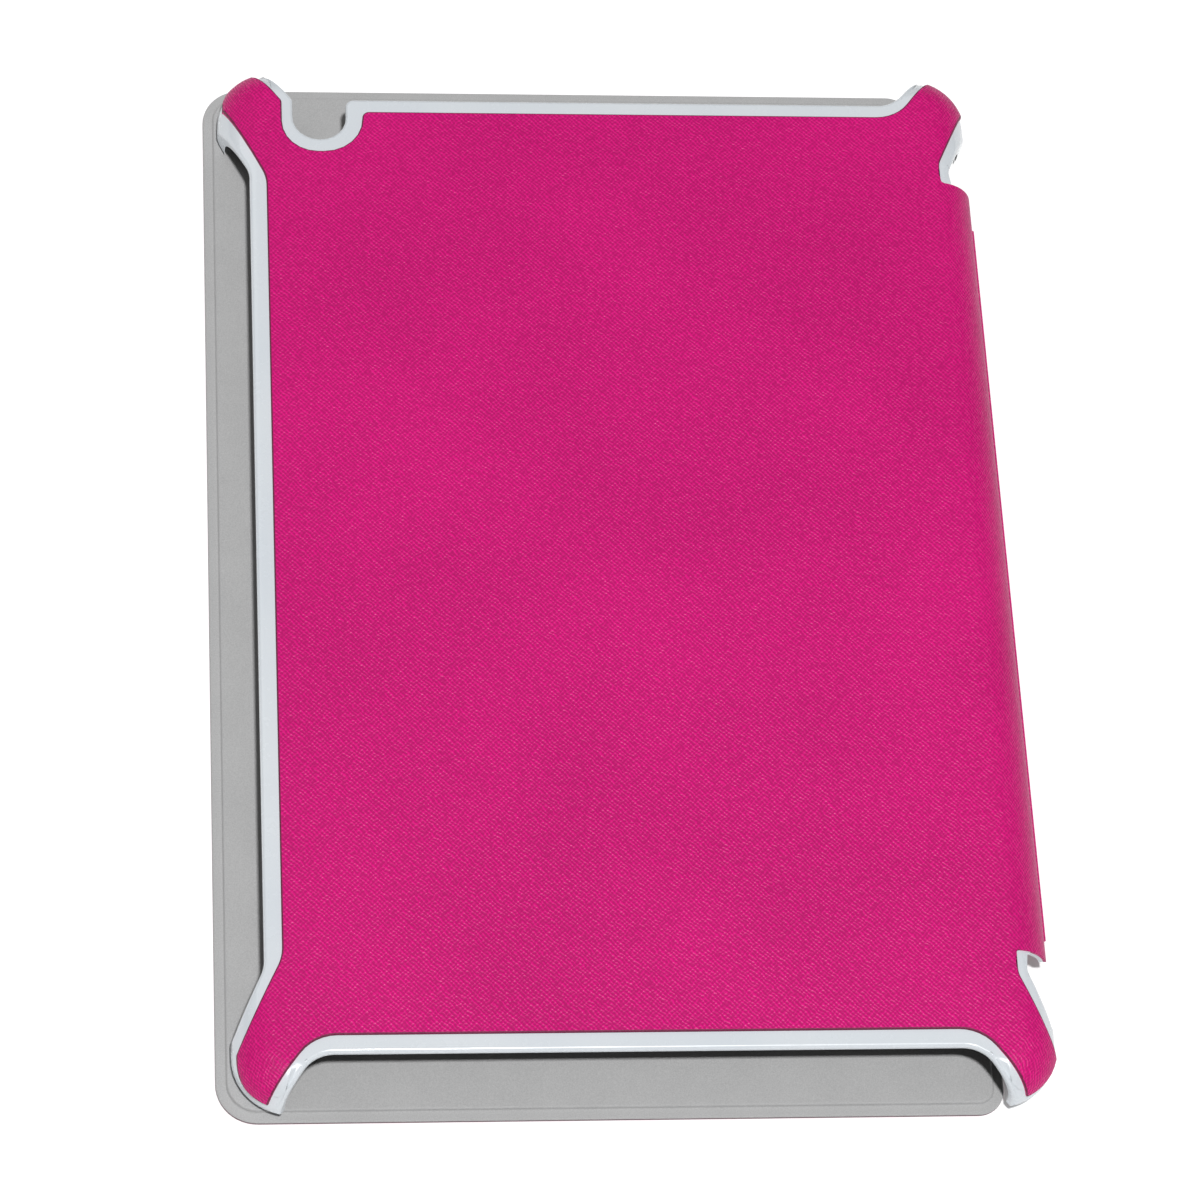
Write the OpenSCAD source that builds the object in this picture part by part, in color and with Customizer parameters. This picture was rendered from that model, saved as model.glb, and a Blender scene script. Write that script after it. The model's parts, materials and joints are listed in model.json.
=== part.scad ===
// Clip-on folio case for a 7.9 inch class tablet, lying closed with the back of its shell up.
// The shell is a white moulding with four corner grips. Textured imitation leather faces its back and
// spine and runs on as the hinge and as the outer face of a stiff lined cover.
// Frame: X towards the spine, Y towards the camera end, Z up out of the shell's back, in millimetres.
// The origin is the plan centre of the shell, on the outer face of the closed cover.

/* [Tablet] */
// Width of the tablet that the shell holds
tablet_w = 134.7; // [120:0.1:165]
// Length of the tablet
tablet_l = 200; // [180:0.5:245]
// Thickness of the tablet
tablet_t = 7.2; // [6.6:0.1:9]
// Clearance on each side of the tablet
tablet_clear = 0.1; // [0.05:0.05:0.5]

/* [Shell] */
// Wall at the two long sides
side_wall = 1.35; // [1.2:0.05:2.5]
// Wall at the two ends
end_wall = 1.3; // [0.9:0.05:2.5]
// Thickness of the back plate
back_t = 1; // [0.8:0.1:2.5]
// Thickness of the lips that hold the tablet's face
lip_t = 0.7; // [0.5:0.1:1.5]
// Reach of the lips over the tablet's face
lip_reach = 1.2; // [0.6:0.1:2]
// Corner radius in plan
corner_r = 10; // [8.5:0.5:14]
// Radius of the shoulder between the back and the walls
shoulder_r = 7; // [4:0.5:7.5]
// Radius of the grips' lower edge, where they turn under the tablet
grip_r = 2; // [1:0.1:2]

/* [Cut-outs] */
// Distance from the outer wall to the cut edge on the open long side
side_inset = 5.5; // [3:0.1:9]
// Distance from the outer wall to the cut edge at both ends
end_inset = 8; // [4:0.1:11]
// Length of a grip along the long side, at the outer wall
grip_side = 11.9; // [11:0.1:20]
// Length of a grip along the long side, at the cut edge
grip_side_root = 23.4; // [20:0.1:30]
// Length of a grip along the end, at the outer wall
grip_end = 7.7; // [6:0.1:14]
// Length of a grip along the end, at the cut edge
grip_end_root = 13.7; // [12:0.1:20]
// How much nearer the middle the spine side's grips start at the notch beside the spine
spine_shift = 2; // [0:0.1:4]
// Fillet where a grip meets the cut edge
grip_fillet = 6; // [1:0.5:7]
// Distance of the camera notch's centre from the open long side's outer wall
notch_place = 18.3; // [17:0.1:40]
// Width of the camera notch
notch_w = 9.6; // [6:0.1:11]
// Depth of the camera notch from the end's cut edge
notch_depth = 8.5; // [6:0.1:16]
// Radius of the camera notch's mouth
notch_mouth_r = 1.5; // [0.5:0.1:2]
// Length of the spine wall
spine_l = 152.4; // [100:0.2:156]
// Depth of the notches between the spine and its grips
spine_notch = 4.3; // [2:0.1:6]
// Radius at the root of those notches, on the grips' side
spine_root_r = 2.5; // [0.5:0.1:3]
// Radius at the root of those notches, on the spine's side
spine_end_r = 0.6; // [0.3:0.1:1]
// Height of the spine wall's lower edge above the hinge's upper fold line
spine_lift = 3; // [0.9:0.1:4]

/* [Leather] */
// Thickness of the imitation leather
skin_t = 0.5; // [0.4:0.05:1.2]
// White rim left along the cut edges and the camera notch
rim_cut = 3; // [1:0.1:4]
// White rim left along the slanted sides of the grips
rim_slant = 2; // [1:0.1:3]
// White rim left on the open side of the grips, in plan
rim_outer = 0.8; // [0.3:0.1:3]
// Height of the white rim below the leather on the grips
rim_low = 4; // [1:0.1:5]
// How far the leather's free skirt below the spine ends above the upper fold line
skirt_lift = 1; // [0.9:0.1:2]

/* [Cover] */
// Width of the cover
cover_w = 131.5; // [110:0.5:160]
// Length of the cover
cover_l = 203.2; // [180:0.2:250]
// Radius of the cover's corners on the open side
cover_r = 7; // [4:0.5:12]
// Radius of the cover's corners on the hinge side
cover_hinge_r = 4.5; // [3:0.5:12]
// Thickness of the stiff board
board_t = 0.7; // [0.6:0.1:2]
// Thickness of the lining
lining_t = 0.4; // [0.3:0.05:1]
// Width of the pressed border round the board
border = 2.2; // [1.5:0.1:5]
// Gap between the lips and the lining of the closed cover
rest_gap = 0.2; // [0.15:0.05:0.5]

/* [Hinge] */
// Length of the hinge strip
hinge_l = 142; // [90:0.5:152]
// Height of the upper fold line above the cover's outer face
hinge_z = 2.7; // [2:0.1:5]
// Distance between the two fold lines across the case
hinge_reach = 8.6; // [8:0.1:16]
// Gap between the folded pieces and between them and the spine
fold_gap = 0.3; // [0.2:0.05:0.6]

/* [Magnets] */
// Length of a closing magnet
magnet_l = 10; // [5:0.5:20]
// Width of a closing magnet
magnet_w = 4; // [2:0.5:8]
// Distance between closing magnets
magnet_step = 32; // [22:0.5:34]
// Distance of the magnets' centre line from the cover's free edge
magnet_inset = 6.5; // [5:0.1:12]
// Diameter of the wake magnet
wake_d = 5; // [3:0.5:8]
// Distance of the wake magnet from the camera end of the cover
wake_place = 38; // [30:0.5:41]

/* [Hidden] */
$fn = 72;
ARC_STEPS = 6;
MAGNETS = 6;
PAST = 4;
BIT = 0.1;
TOUCH = 0.01;
LEAST_R = 0.05;
STRAIGHT = 0.001;
RIM_ROUNDING = 0.8;
TIGHTEST = 1.2;

cover_t = skin_t + board_t + lining_t;
lip_z = cover_t + rest_gap;
pocket_z = lip_z + lip_t;
pocket_top = pocket_z + tablet_t + tablet_clear;
shell_top = pocket_top + back_t;
half_w = tablet_w / 2 + tablet_clear + side_wall;
half_l = tablet_l / 2 + tablet_clear + end_wall;
pocket_half_w = half_w - side_wall;
pocket_half_l = half_l - end_wall;
pocket_corner_r = corner_r - side_wall;
pocket_shoulder_r = shoulder_r - side_wall;

cut_x = half_w - side_inset;
cut_y = half_l - end_inset;
spine_x = half_w - spine_notch;
spine_y = spine_l / 2;
notch_left = -half_w + notch_place - notch_w / 2;
notch_right = notch_left + notch_w;
notch_y = cut_y - notch_depth;

fold_x = half_w + fold_gap;
cover_fold_x = fold_x - hinge_reach;
cover_right = cover_fold_x - fold_gap;
cover_left = cover_right - cover_w;
strip_len = sqrt(hinge_reach * hinge_reach + hinge_z * hinge_z);
strip_tilt = atan2(hinge_z, hinge_reach);
spine_z = hinge_z + spine_lift;

magnet_x = cover_left + magnet_inset;
first_magnet_y = -magnet_step * (MAGNETS - 1) / 2;
wake_y = cover_l / 2 - wake_place;
skin_low = lip_z + rim_low;
skirt_z = hinge_z + skirt_lift;
slot_clear = 0.1;

// How far a grip's slanted sides run along the case for each millimetre towards its outside.
side_slant = (grip_side_root - grip_side) / side_inset;
end_slant = (grip_end_root - grip_end) / end_inset;
spine_slant = (grip_side_root - spine_shift - grip_side) / spine_notch;

// The plan of the cut edges, anticlockwise: x, y, corner radius, and the rim that the edge which leaves
// this corner has outside the leather. Its outer corners stand clear of the walls.
function open_side_corners(end) = [
    [-half_w - PAST, end * (half_l - grip_side + PAST * side_slant), 0, 0],
    [-half_w - PAST, end * (half_l + PAST), 0, 0],
    [-half_w + grip_end - PAST * end_slant, end * (half_l + PAST), 0, rim_slant],
];
function spine_side_corners(end) = [
    [half_w - grip_end + PAST * end_slant, end * (half_l + PAST), 0, 0],
    [half_w + PAST, end * (half_l + PAST), 0, 0],
    [half_w + PAST, end * (half_l - grip_side + PAST * spine_slant), 0, rim_slant],
    [spine_x, end * (half_l - grip_side_root + spine_shift), spine_root_r, rim_slant],
    [spine_x, end * spine_y, spine_end_r, 0],
    [half_w + PAST, end * spine_y, 0, 0],
];

// The rim of an edge is kept by its first corner, so it moves along one place when the order turns.
function turned(corners, first_rim) = [for (i = [len(corners) - 1 : -1 : 0])
    [corners[i][0], corners[i][1], corners[i][2], i > 0 ? corners[i - 1][3] : first_rim]];

SHELL_PLAN = concat(
    [[-cut_x, -(half_l - grip_side_root), grip_fillet, rim_slant]],
    open_side_corners(-1),
    [[-half_w + grip_end_root, -cut_y, grip_fillet, rim_cut]],
    [[half_w - grip_end_root, -cut_y, grip_fillet, rim_slant]],
    spine_side_corners(-1),
    turned(spine_side_corners(1), rim_slant),
    [[half_w - grip_end_root, cut_y, grip_fillet, rim_cut]],
    [[notch_right, cut_y, notch_mouth_r, rim_cut]],
    [[notch_right, notch_y, notch_w / 2 - TOUCH, rim_cut]],
    [[notch_left, notch_y, notch_w / 2 - TOUCH, rim_slant]],
    [[notch_left, cut_y, notch_mouth_r, rim_slant]],
    turned(open_side_corners(1), rim_slant),
    [[-cut_x, half_l - grip_side_root, grip_fillet, rim_cut]]
);

function wrap(list, i) = list[(i + len(list)) % len(list)];
function unit(v) = v / norm(v);
function place(corner) = [corner[0], corner[1]];
function left_of(v) = [-v[1], v[0]];
function cross2(a, b) = a[0] * b[1] - a[1] * b[0];

// Where two edges meet, each moved to its left by its own rim.
function inset_corner(before, at, after, rim_in, rim_out) =
    let (u = unit(at - before), v = unit(after - at))
    let (p = at + left_of(u) * rim_in, q = at + left_of(v) * rim_out)
    abs(cross2(u, v)) < STRAIGHT ? p : p + u * cross2(q - p, v) / cross2(u, v);

// The same plan with every edge moved in by its rim: convex corners get tighter, hollow ones wider.
function inset_plan(plan) = [for (i = [0 : len(plan) - 1])
    let (before = wrap(plan, i - 1), at = plan[i], after = wrap(plan, i + 1))
    let (moved = inset_corner(place(before), place(at), place(after), before[3], at[3]))
    let (convex = cross2(place(at) - place(before), place(after) - place(at)) > 0)
    let (tighter = max(at[2] - max(before[3], at[3]), min(at[2], TIGHTEST)))
    let (wider = at[2] + min(before[3], at[3]) * RIM_ROUNDING)
    [moved[0], moved[1], convex ? tighter : wider, at[3]]];

// The part of the edge between two corners that the first may use up: they share it by their radii.
function share(corner, other) = norm(place(other) - place(corner)) * corner[2] / (corner[2] + other[2] + TOUCH);

// A corner as an arc of the given radius, shortened where an edge has no room for it.
function rounded_corner(before, at, after, radius, room) =
    let (u = unit(before - at), v = unit(after - at))
    let (half = acos(max(-1, min(1, u * v))) / 2)
    let (back = min(radius / tan(half), room), r = back * tan(half))
    let (mid = unit(u + v), centre = at + mid * r / sin(half), start = at + u * back)
    let (arm = start - centre, turn = (180 - 2 * half) * (cross2(u, v) > 0 ? -1 : 1))
    r < LEAST_R ? [at] : [for (k = [0 : ARC_STEPS]) let (a = turn * k / ARC_STEPS)
        centre + [arm[0] * cos(a) - arm[1] * sin(a), arm[0] * sin(a) + arm[1] * cos(a)]];

function rounded_plan(plan) = [for (i = [0 : len(plan) - 1])
    let (before = wrap(plan, i - 1), at = plan[i], after = wrap(plan, i + 1))
    let (room = min(share(at, before), share(at, after)))
    each rounded_corner(place(before), place(at), place(after), at[2], room)];

module upper_round(half, height, r) {
    intersection() {
        union() {
            translate([-half, 0]) square([2 * half, height - r]);
            translate([-(half - r), 0]) square([2 * (half - r), height]);
            translate([half - r, height - r]) circle(r);
            translate([-(half - r), height - r]) circle(r);
        }
        translate([-half, 0]) square([2 * half, height]);
    }
}

// A slab with round corners in plan and a round shoulder under its top face.
module domed_slab(half_x, half_y, z_low, z_high, corner, shoulder) {
    height = z_high - z_low;
    translate([0, half_y - corner, z_low]) rotate([90, 0, 0])
        linear_extrude(2 * (half_y - corner)) upper_round(half_x, height, shoulder);
    translate([-(half_x - corner), 0, z_low]) rotate([90, 0, 90])
        linear_extrude(2 * (half_x - corner)) upper_round(half_y, height, shoulder);
    for (side = [-1, 1], end = [-1, 1])
        translate([side * (half_x - corner), end * (half_y - corner), z_low]) rotate_extrude()
            intersection() {
                upper_round(corner, height, shoulder);
                square([corner, height]);
            }
}

// A slab with one corner radius at its low X end and another at its high X end.
module rounded_slab(x_low, x_high, half_y, z_low, z_high, r_low, r_high) {
    height = z_high - z_low;
    middle_x = (x_low + x_high) / 2;
    for (end = [-1, 1]) {
        translate([x_low + r_low, end * (half_y - r_low), z_low]) cylinder(h = height, r = r_low);
        translate([x_high - r_high, end * (half_y - r_high), z_low]) cylinder(h = height, r = r_high);
    }
    translate([x_low + r_low, -half_y, z_low]) cube([x_high - r_high - x_low - r_low, 2 * half_y, height]);
    translate([x_low, -half_y + r_low, z_low]) cube([middle_x - x_low, 2 * (half_y - r_low), height]);
    translate([middle_x, -half_y + r_high, z_low]) cube([x_high - middle_x, 2 * (half_y - r_high), height]);
}

module plan_prism(plan) {
    translate([0, 0, lip_z - PAST]) linear_extrude(shell_top - lip_z + 2 * PAST) polygon(rounded_plan(plan));
}

// The space below the spine wall, which the hinge needs.
module under_spine() {
    translate([cut_x - PAST, -spine_y - BIT, lip_z - PAST])
        cube([half_w - cut_x + 3 * PAST, spine_l + 2 * BIT, spine_z - lip_z + PAST]);
}

// The stretches between the grips, where the moulding has no lips.
module between_grips() {
    translate([-half_w - PAST, -half_l + grip_side, lip_z - PAST])
        cube([2 * (half_w + PAST), 2 * (half_l - grip_side), pocket_z - lip_z + PAST]);
    translate([-half_w + grip_end, -half_l - PAST, lip_z - PAST])
        cube([2 * (half_w - grip_end), 2 * (half_l + PAST), pocket_z - lip_z + PAST]);
}

// The stretch of the case between the spine's two ends.
module spine_block(grow) {
    translate([0, -spine_y - grow, lip_z - PAST]) cube([half_w + PAST, spine_l + 2 * grow, shell_top + 2 * PAST]);
}

// The outside of the moulding. Its spine wall stands in, so that the leather there is flush.
module moulding_outside() {
    intersection() {
        domed_slab(half_w, half_l, lip_z, shell_top, corner_r, shoulder_r);
        rotate([180, 0, 0]) domed_slab(half_w, half_l, -shell_top - PAST, -lip_z, corner_r, grip_r);
        union() {
            domed_slab(half_w - skin_t, half_l, lip_z, shell_top, corner_r, shoulder_r);
            difference() {
                translate([-half_w - 1, -half_l - 1, lip_z]) cube([2 * half_w + 2, 2 * half_l + 2, shell_top]);
                spine_block(0);
            }
        }
    }
}

module back_shell() {
    color([0.86, 0.88, 0.89]) difference() {
        intersection() {
            moulding_outside();
            plan_prism(SHELL_PLAN);
        }
        domed_slab(pocket_half_w, pocket_half_l, pocket_z, pocket_top, pocket_corner_r, pocket_shoulder_r);
        rounded_slab(-pocket_half_w + lip_reach, pocket_half_w - lip_reach, pocket_half_l - lip_reach,
            lip_z - 1, pocket_z + 1, pocket_corner_r - lip_reach, pocket_corner_r - lip_reach);
        between_grips();
        under_spine();
    }
}

// Where the leather over the spine is: all along it, and further down only as long as the hinge.
module spine_leather_space() {
    intersection() {
        spine_block(0);
        translate([0, -spine_y - PAST, spine_z]) cube([half_w + PAST, spine_l + 2 * PAST, shell_top]);
    }
    translate([0, -hinge_l / 2, skirt_z]) cube([half_w + PAST, hinge_l, shell_top]);
}

// The leather over the back and the grips, and then over the spine.
module back_skin() {
    color([0.80, 0.14, 0.46]) intersection() {
        plan_prism(inset_plan(SHELL_PLAN));
        union() {
            difference() {
                intersection() {
                    domed_slab(half_w + skin_t, half_l + skin_t, lip_z, shell_top + skin_t,
                        corner_r + skin_t, shoulder_r + skin_t);
                    rounded_slab(-half_w + rim_outer, half_w + PAST, half_l + skin_t + BIT,
                        skin_low, shell_top + PAST, corner_r - rim_outer, corner_r);
                }
                domed_slab(half_w, half_l, lip_z - 1, shell_top, corner_r, shoulder_r);
                spine_block(0);
            }
            intersection() {
                difference() {
                    domed_slab(half_w, half_l, skirt_z, shell_top + skin_t, corner_r + skin_t, shoulder_r + skin_t);
                    domed_slab(half_w - skin_t, half_l, lip_z - 1, shell_top, corner_r, shoulder_r);
                }
                spine_leather_space();
            }
        }
    }
}

// A ply of the hinge strip, from one fold line to the other: depths are counted from the outer face.
module hinge_ply(depth_low, depth_high, setback) {
    translate([fold_x, 0, hinge_z]) rotate([0, -strip_tilt, 0])
        translate([-strip_len + fold_gap, -hinge_l / 2, depth_low])
            cube([strip_len - fold_gap - setback, hinge_l, depth_high - depth_low]);
}

module hinge_skin() {
    color([0.78, 0.13, 0.44]) hinge_ply(0, skin_t, fold_gap);
}

module hinge_lining() {
    color([0.66, 0.66, 0.67]) hinge_ply(skin_t, skin_t + lining_t, 4 * fold_gap);
}

module cover_slab(inset, z_low, z_high) {
    rounded_slab(cover_left + inset, cover_right - inset, cover_l / 2 - inset, z_low, z_high,
        cover_r - inset, cover_hinge_r - inset);
}

module cover_skin() {
    color([0.80, 0.14, 0.46]) cover_slab(0, 0, skin_t);
}

module magnet_box(number, clear) {
    translate([magnet_x - magnet_w / 2 - clear, first_magnet_y + magnet_step * (number - 1)
        - magnet_l / 2 - clear, skin_t]) cube([magnet_w + 2 * clear, magnet_l + 2 * clear, board_t]);
}

module wake_disc(clear) {
    translate([magnet_x, wake_y, skin_t]) cylinder(h = board_t, d = wake_d + 2 * clear);
}

module cover_board() {
    color([0.62, 0.56, 0.46]) difference() {
        cover_slab(border, skin_t, skin_t + board_t);
        for (number = [1 : MAGNETS]) magnet_box(number, slot_clear);
        wake_disc(slot_clear);
    }
}

// The lining lies on the board and is pressed down on to the leather round it.
module cover_lining() {
    color([0.69, 0.69, 0.69]) difference() {
        union() {
            cover_slab(0, skin_t, skin_t + lining_t);
            cover_slab(border - lining_t, skin_t, cover_t);
        }
        cover_slab(border, skin_t - 1, skin_t + board_t);
    }
}

module magnet(number) {
    color([0.72, 0.73, 0.75]) magnet_box(number, 0);
}

module wake_magnet() {
    color([0.72, 0.73, 0.75]) wake_disc(0);
}

back_shell();
back_skin();
hinge_skin();
hinge_lining();
cover_skin();
cover_board();
cover_lining();
wake_magnet();
magnet(1);  // magnet_1
magnet(2);  // magnet_2
magnet(3);  // magnet_3
magnet(4);  // magnet_4
magnet(5);  // magnet_5
magnet(6);  // magnet_6
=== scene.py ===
"""Clip-on folio case for a tablet, lying closed on its cover with the shell's back up.

The case is a glossy white moulding with four corner grips, faced with a cross-grained pink leather
that runs down the spine and on, as the hinge strip, to the stiff cover with its grey suede lining.
"""

import json
import logging
import math
from collections.abc import Callable, Iterator
from contextlib import contextmanager
from dataclasses import dataclass, field
from enum import Enum

import bmesh
import bpy
from mathutils import Matrix, Vector


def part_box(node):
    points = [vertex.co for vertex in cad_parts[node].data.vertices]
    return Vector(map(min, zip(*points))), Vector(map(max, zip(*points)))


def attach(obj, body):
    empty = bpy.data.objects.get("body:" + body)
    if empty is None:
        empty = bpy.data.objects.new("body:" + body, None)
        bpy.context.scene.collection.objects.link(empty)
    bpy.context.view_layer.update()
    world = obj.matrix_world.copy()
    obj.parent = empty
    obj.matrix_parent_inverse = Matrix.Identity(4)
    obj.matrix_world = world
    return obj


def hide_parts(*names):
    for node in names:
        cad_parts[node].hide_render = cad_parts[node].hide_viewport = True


LOG = logging.getLogger("tablet_case")
MM = 0.001
# Points nearer to each other than this are one point.
MERGE_WITHIN = 0.001 * MM
# How exactly a place has to agree, and how exactly after small features are allowed for.
NEAR = 0.05 * MM
CLOSE = 0.1 * MM
# Faces that differ by less are one flat face, and edges that turn by more are sharp.
FLAT_WITHIN = math.radians(0.4)
SHARP_FROM = math.radians(32)
SMOOTH_TO = math.radians(38)
# The least share of an edge's length, or of a face's normal, that lies along an axis.
ALONG = 0.99
LEVEL = 0.9
# The most that the normal of an upright face points up or down.
UPRIGHT = 0.05
ROD_SIDES = 24
CORNER_STEPS = 12

EdgeTest = Callable[[bmesh.types.BMEdge], bool]
FaceTest = Callable[[bmesh.types.BMFace], bool]
Colour = tuple[float, float, float]
Range = tuple[float, float]

# The parts of a noise's range that a finish is stretched over, and the range it is given.
FULL: Range = (0.0, 1.0)
MID_NOISE: Range = (0.35, 0.65)
WIDE_NOISE: Range = (0.3, 0.7)


class Body(Enum):
    """The moving bodies of the case."""

    SHELL = "shell"
    STRIP = "hinge_strip"
    COVER = "cover"


class Slot(Enum):
    """The material slots of the case."""

    PLASTIC = "shell_plastic"
    LEATHER = "case_leather"
    LINING = "lining_suede"


class Held(Enum):
    """How a sheet lies."""

    STRETCHED = "stretched"
    FOLDED = "folded"


# ---------------------------------------------------------------------------------------------
# Bench work: short steps with Blender's own operators
# ---------------------------------------------------------------------------------------------


def only(piece: bpy.types.Object) -> None:
    """Select one piece and nothing else.

    Args:
        piece: The piece that the next operator works on.
    """
    bpy.ops.object.select_all(action="DESELECT")
    piece.select_set(True)
    bpy.context.view_layer.objects.active = piece


@contextmanager
def editing(piece: bpy.types.Object, mode: str = "EDGE") -> Iterator[bmesh.types.BMesh]:
    """Open a piece in edit mode with nothing selected.

    Args:
        piece: The piece to open.
        mode: VERT, EDGE or FACE.

    Yields:
        The mesh, to select in.
    """
    only(piece)
    bpy.ops.object.mode_set(mode="EDIT")
    bpy.ops.mesh.select_mode(type=mode)
    bpy.ops.mesh.select_all(action="DESELECT")
    yield bmesh.from_edit_mesh(piece.data)
    bpy.ops.object.mode_set(mode="OBJECT")


def pick_edges(piece: bpy.types.Object, mesh: bmesh.types.BMesh, test: EdgeTest) -> int:
    """Select the edges that pass a test, and no others.

    Args:
        piece: The piece being edited.
        mesh: Its mesh.
        test: The test of one edge.

    Returns:
        How many edges are selected.
    """
    bpy.ops.mesh.select_all(action="DESELECT")
    chosen = [edge for edge in mesh.edges if test(edge)]
    for edge in chosen:
        edge.select_set(True)
    bmesh.update_edit_mesh(piece.data)
    return len(chosen)


def pick_faces(piece: bpy.types.Object, mesh: bmesh.types.BMesh, test: FaceTest) -> int:
    """Select the faces that pass a test, and no others.

    Args:
        piece: The piece being edited.
        mesh: Its mesh.
        test: The test of one face.

    Returns:
        How many faces are selected.
    """
    bpy.ops.mesh.select_all(action="DESELECT")
    chosen = [face for face in mesh.faces if test(face)]
    for face in chosen:
        face.select_set(True)
    bmesh.update_edit_mesh(piece.data)
    return len(chosen)


def is_sharp(edge: bmesh.types.BMEdge) -> bool:
    """Whether two faces meet at an edge with a clear angle."""
    return len(edge.link_faces) == 2 and edge.calc_face_angle(0.0) > SHARP_FROM


def middle(edge: bmesh.types.BMEdge) -> Vector:
    """The middle of an edge."""
    return (edge.verts[0].co + edge.verts[1].co) / 2


def is_upright(edge: bmesh.types.BMEdge) -> bool:
    """Whether an edge runs straight up."""
    run = edge.verts[1].co - edge.verts[0].co
    return abs(run.z) > ALONG * run.length


def box_of(node: str) -> tuple[Vector, Vector]:
    """The lowest and the highest corner of a CAD node's box."""
    low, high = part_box(node)
    return Vector(low), Vector(high)


def block(name: str, low: Vector, high: Vector) -> bpy.types.Object:
    """Add a block between two corners.

    Args:
        name: The piece's name.
        low: Its lowest corner.
        high: Its highest corner.

    Returns:
        The new piece, with its place in its mesh.
    """
    bpy.ops.object.select_all(action="DESELECT")
    bpy.ops.mesh.primitive_cube_add(size=1, location=(low + high) / 2)
    piece = bpy.context.active_object
    piece.name = name
    piece.data.name = name
    piece.scale = high - low
    settle(piece)
    return piece


def rod(name: str, radius: float, length: float, at: Vector) -> bpy.types.Object:
    """Add a round rod that lies along the case.

    Args:
        name: The piece's name.
        radius: Its radius.
        length: Its length.
        at: Its middle.

    Returns:
        The new piece, with its place in its mesh.
    """
    bpy.ops.object.select_all(action="DESELECT")
    bpy.ops.mesh.primitive_cylinder_add(
        vertices=ROD_SIDES, radius=radius, depth=length, location=at, rotation=(math.pi / 2, 0, 0)
    )
    piece = bpy.context.active_object
    piece.name = name
    settle(piece)
    return piece


def settle(piece: bpy.types.Object) -> None:
    """Move a piece's place, turn and scale into its mesh.

    Args:
        piece: The piece to settle.
    """
    only(piece)
    bpy.ops.object.transform_apply(location=True, rotation=True, scale=True)


def node_copy(node: str, name: str) -> bpy.types.Object:
    """Copy a CAD node and merge its loose triangles into whole faces.

    Args:
        node: The CAD node's name.
        name: The copy's name.

    Returns:
        The copy, a piece of its own.
    """
    source = frame["nodes"][node]
    piece = bpy.data.objects.new(name, source.data.copy())
    bpy.context.scene.collection.objects.link(piece)
    piece.data.name = name
    piece.data.materials.clear()
    with editing(piece, "VERT"):
        bpy.ops.mesh.select_all(action="SELECT")
        bpy.ops.mesh.remove_doubles(threshold=MERGE_WITHIN)
        bpy.ops.mesh.dissolve_limited(angle_limit=FLAT_WITHIN, use_dissolve_boundaries=False)
    return piece


def finish_with(piece: bpy.types.Object, kind: str, **settings: object) -> None:
    """Add one modifier and apply it.

    Args:
        piece: The piece it works on.
        kind: Blender's name for the modifier's kind.
        **settings: Its settings.
    """
    only(piece)
    modifier = piece.modifiers.new(kind.title(), kind)
    for key, value in settings.items():
        setattr(modifier, key, value)
    bpy.ops.object.modifier_apply(modifier=modifier.name)


def cut_with(piece: bpy.types.Object, tool: bpy.types.Object, action: str) -> None:
    """Cut or join a piece with another, which is used up.

    Args:
        piece: The piece that stays.
        tool: The piece that is used up.
        action: DIFFERENCE, INTERSECT or UNION.
    """
    finish_with(piece, "BOOLEAN", object=tool, operation=action, solver="EXACT")
    bpy.data.objects.remove(tool, do_unlink=True)


def smooth(piece: bpy.types.Object) -> None:
    """Shade a piece smoothly, with its large faces kept flat.

    Args:
        piece: The piece to shade.
    """
    only(piece)
    bpy.ops.object.shade_smooth_by_angle(angle=SMOOTH_TO)
    finish_with(piece, "WEIGHTED_NORMAL", mode="FACE_AREA", weight=50, keep_sharp=True)


def round_edges(
    piece: bpy.types.Object, radius: float, steps: int, test: EdgeTest, material: int = -1
) -> int:
    """Round the edges that pass a test.

    Args:
        piece: The piece to work on.
        radius: How far each edge is rounded.
        steps: Segments in the rounding.
        test: The test of one edge.
        material: The material slot of the rounding, or -1 for that of its neighbours.

    Returns:
        How many edges were rounded.
    """
    with editing(piece) as mesh:
        found = pick_edges(piece, mesh, test)
        if found:
            bpy.ops.mesh.bevel(
                offset=radius,
                offset_type="OFFSET",
                segments=steps,
                profile=0.5,
                clamp_overlap=False,
                material=material,
            )
    return found


def dress(piece: bpy.types.Object, *materials: bpy.types.Material) -> None:
    """Give a piece its materials.

    Args:
        piece: The piece.
        *materials: Its materials, the main one first.
    """
    piece.data.materials.clear()
    for material in materials:
        piece.data.materials.append(material)


def paint_faces(piece: bpy.types.Object, test: FaceTest) -> int:
    """Give the faces that pass a test the piece's second material.

    Args:
        piece: The piece.
        test: The test of one face.

    Returns:
        How many faces were painted.
    """
    with editing(piece, "FACE") as mesh:
        painted = pick_faces(piece, mesh, test)
        piece.active_material_index = 1
        bpy.ops.object.material_slot_assign()
    return painted


# ---------------------------------------------------------------------------------------------
# Finishes
# ---------------------------------------------------------------------------------------------


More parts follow.
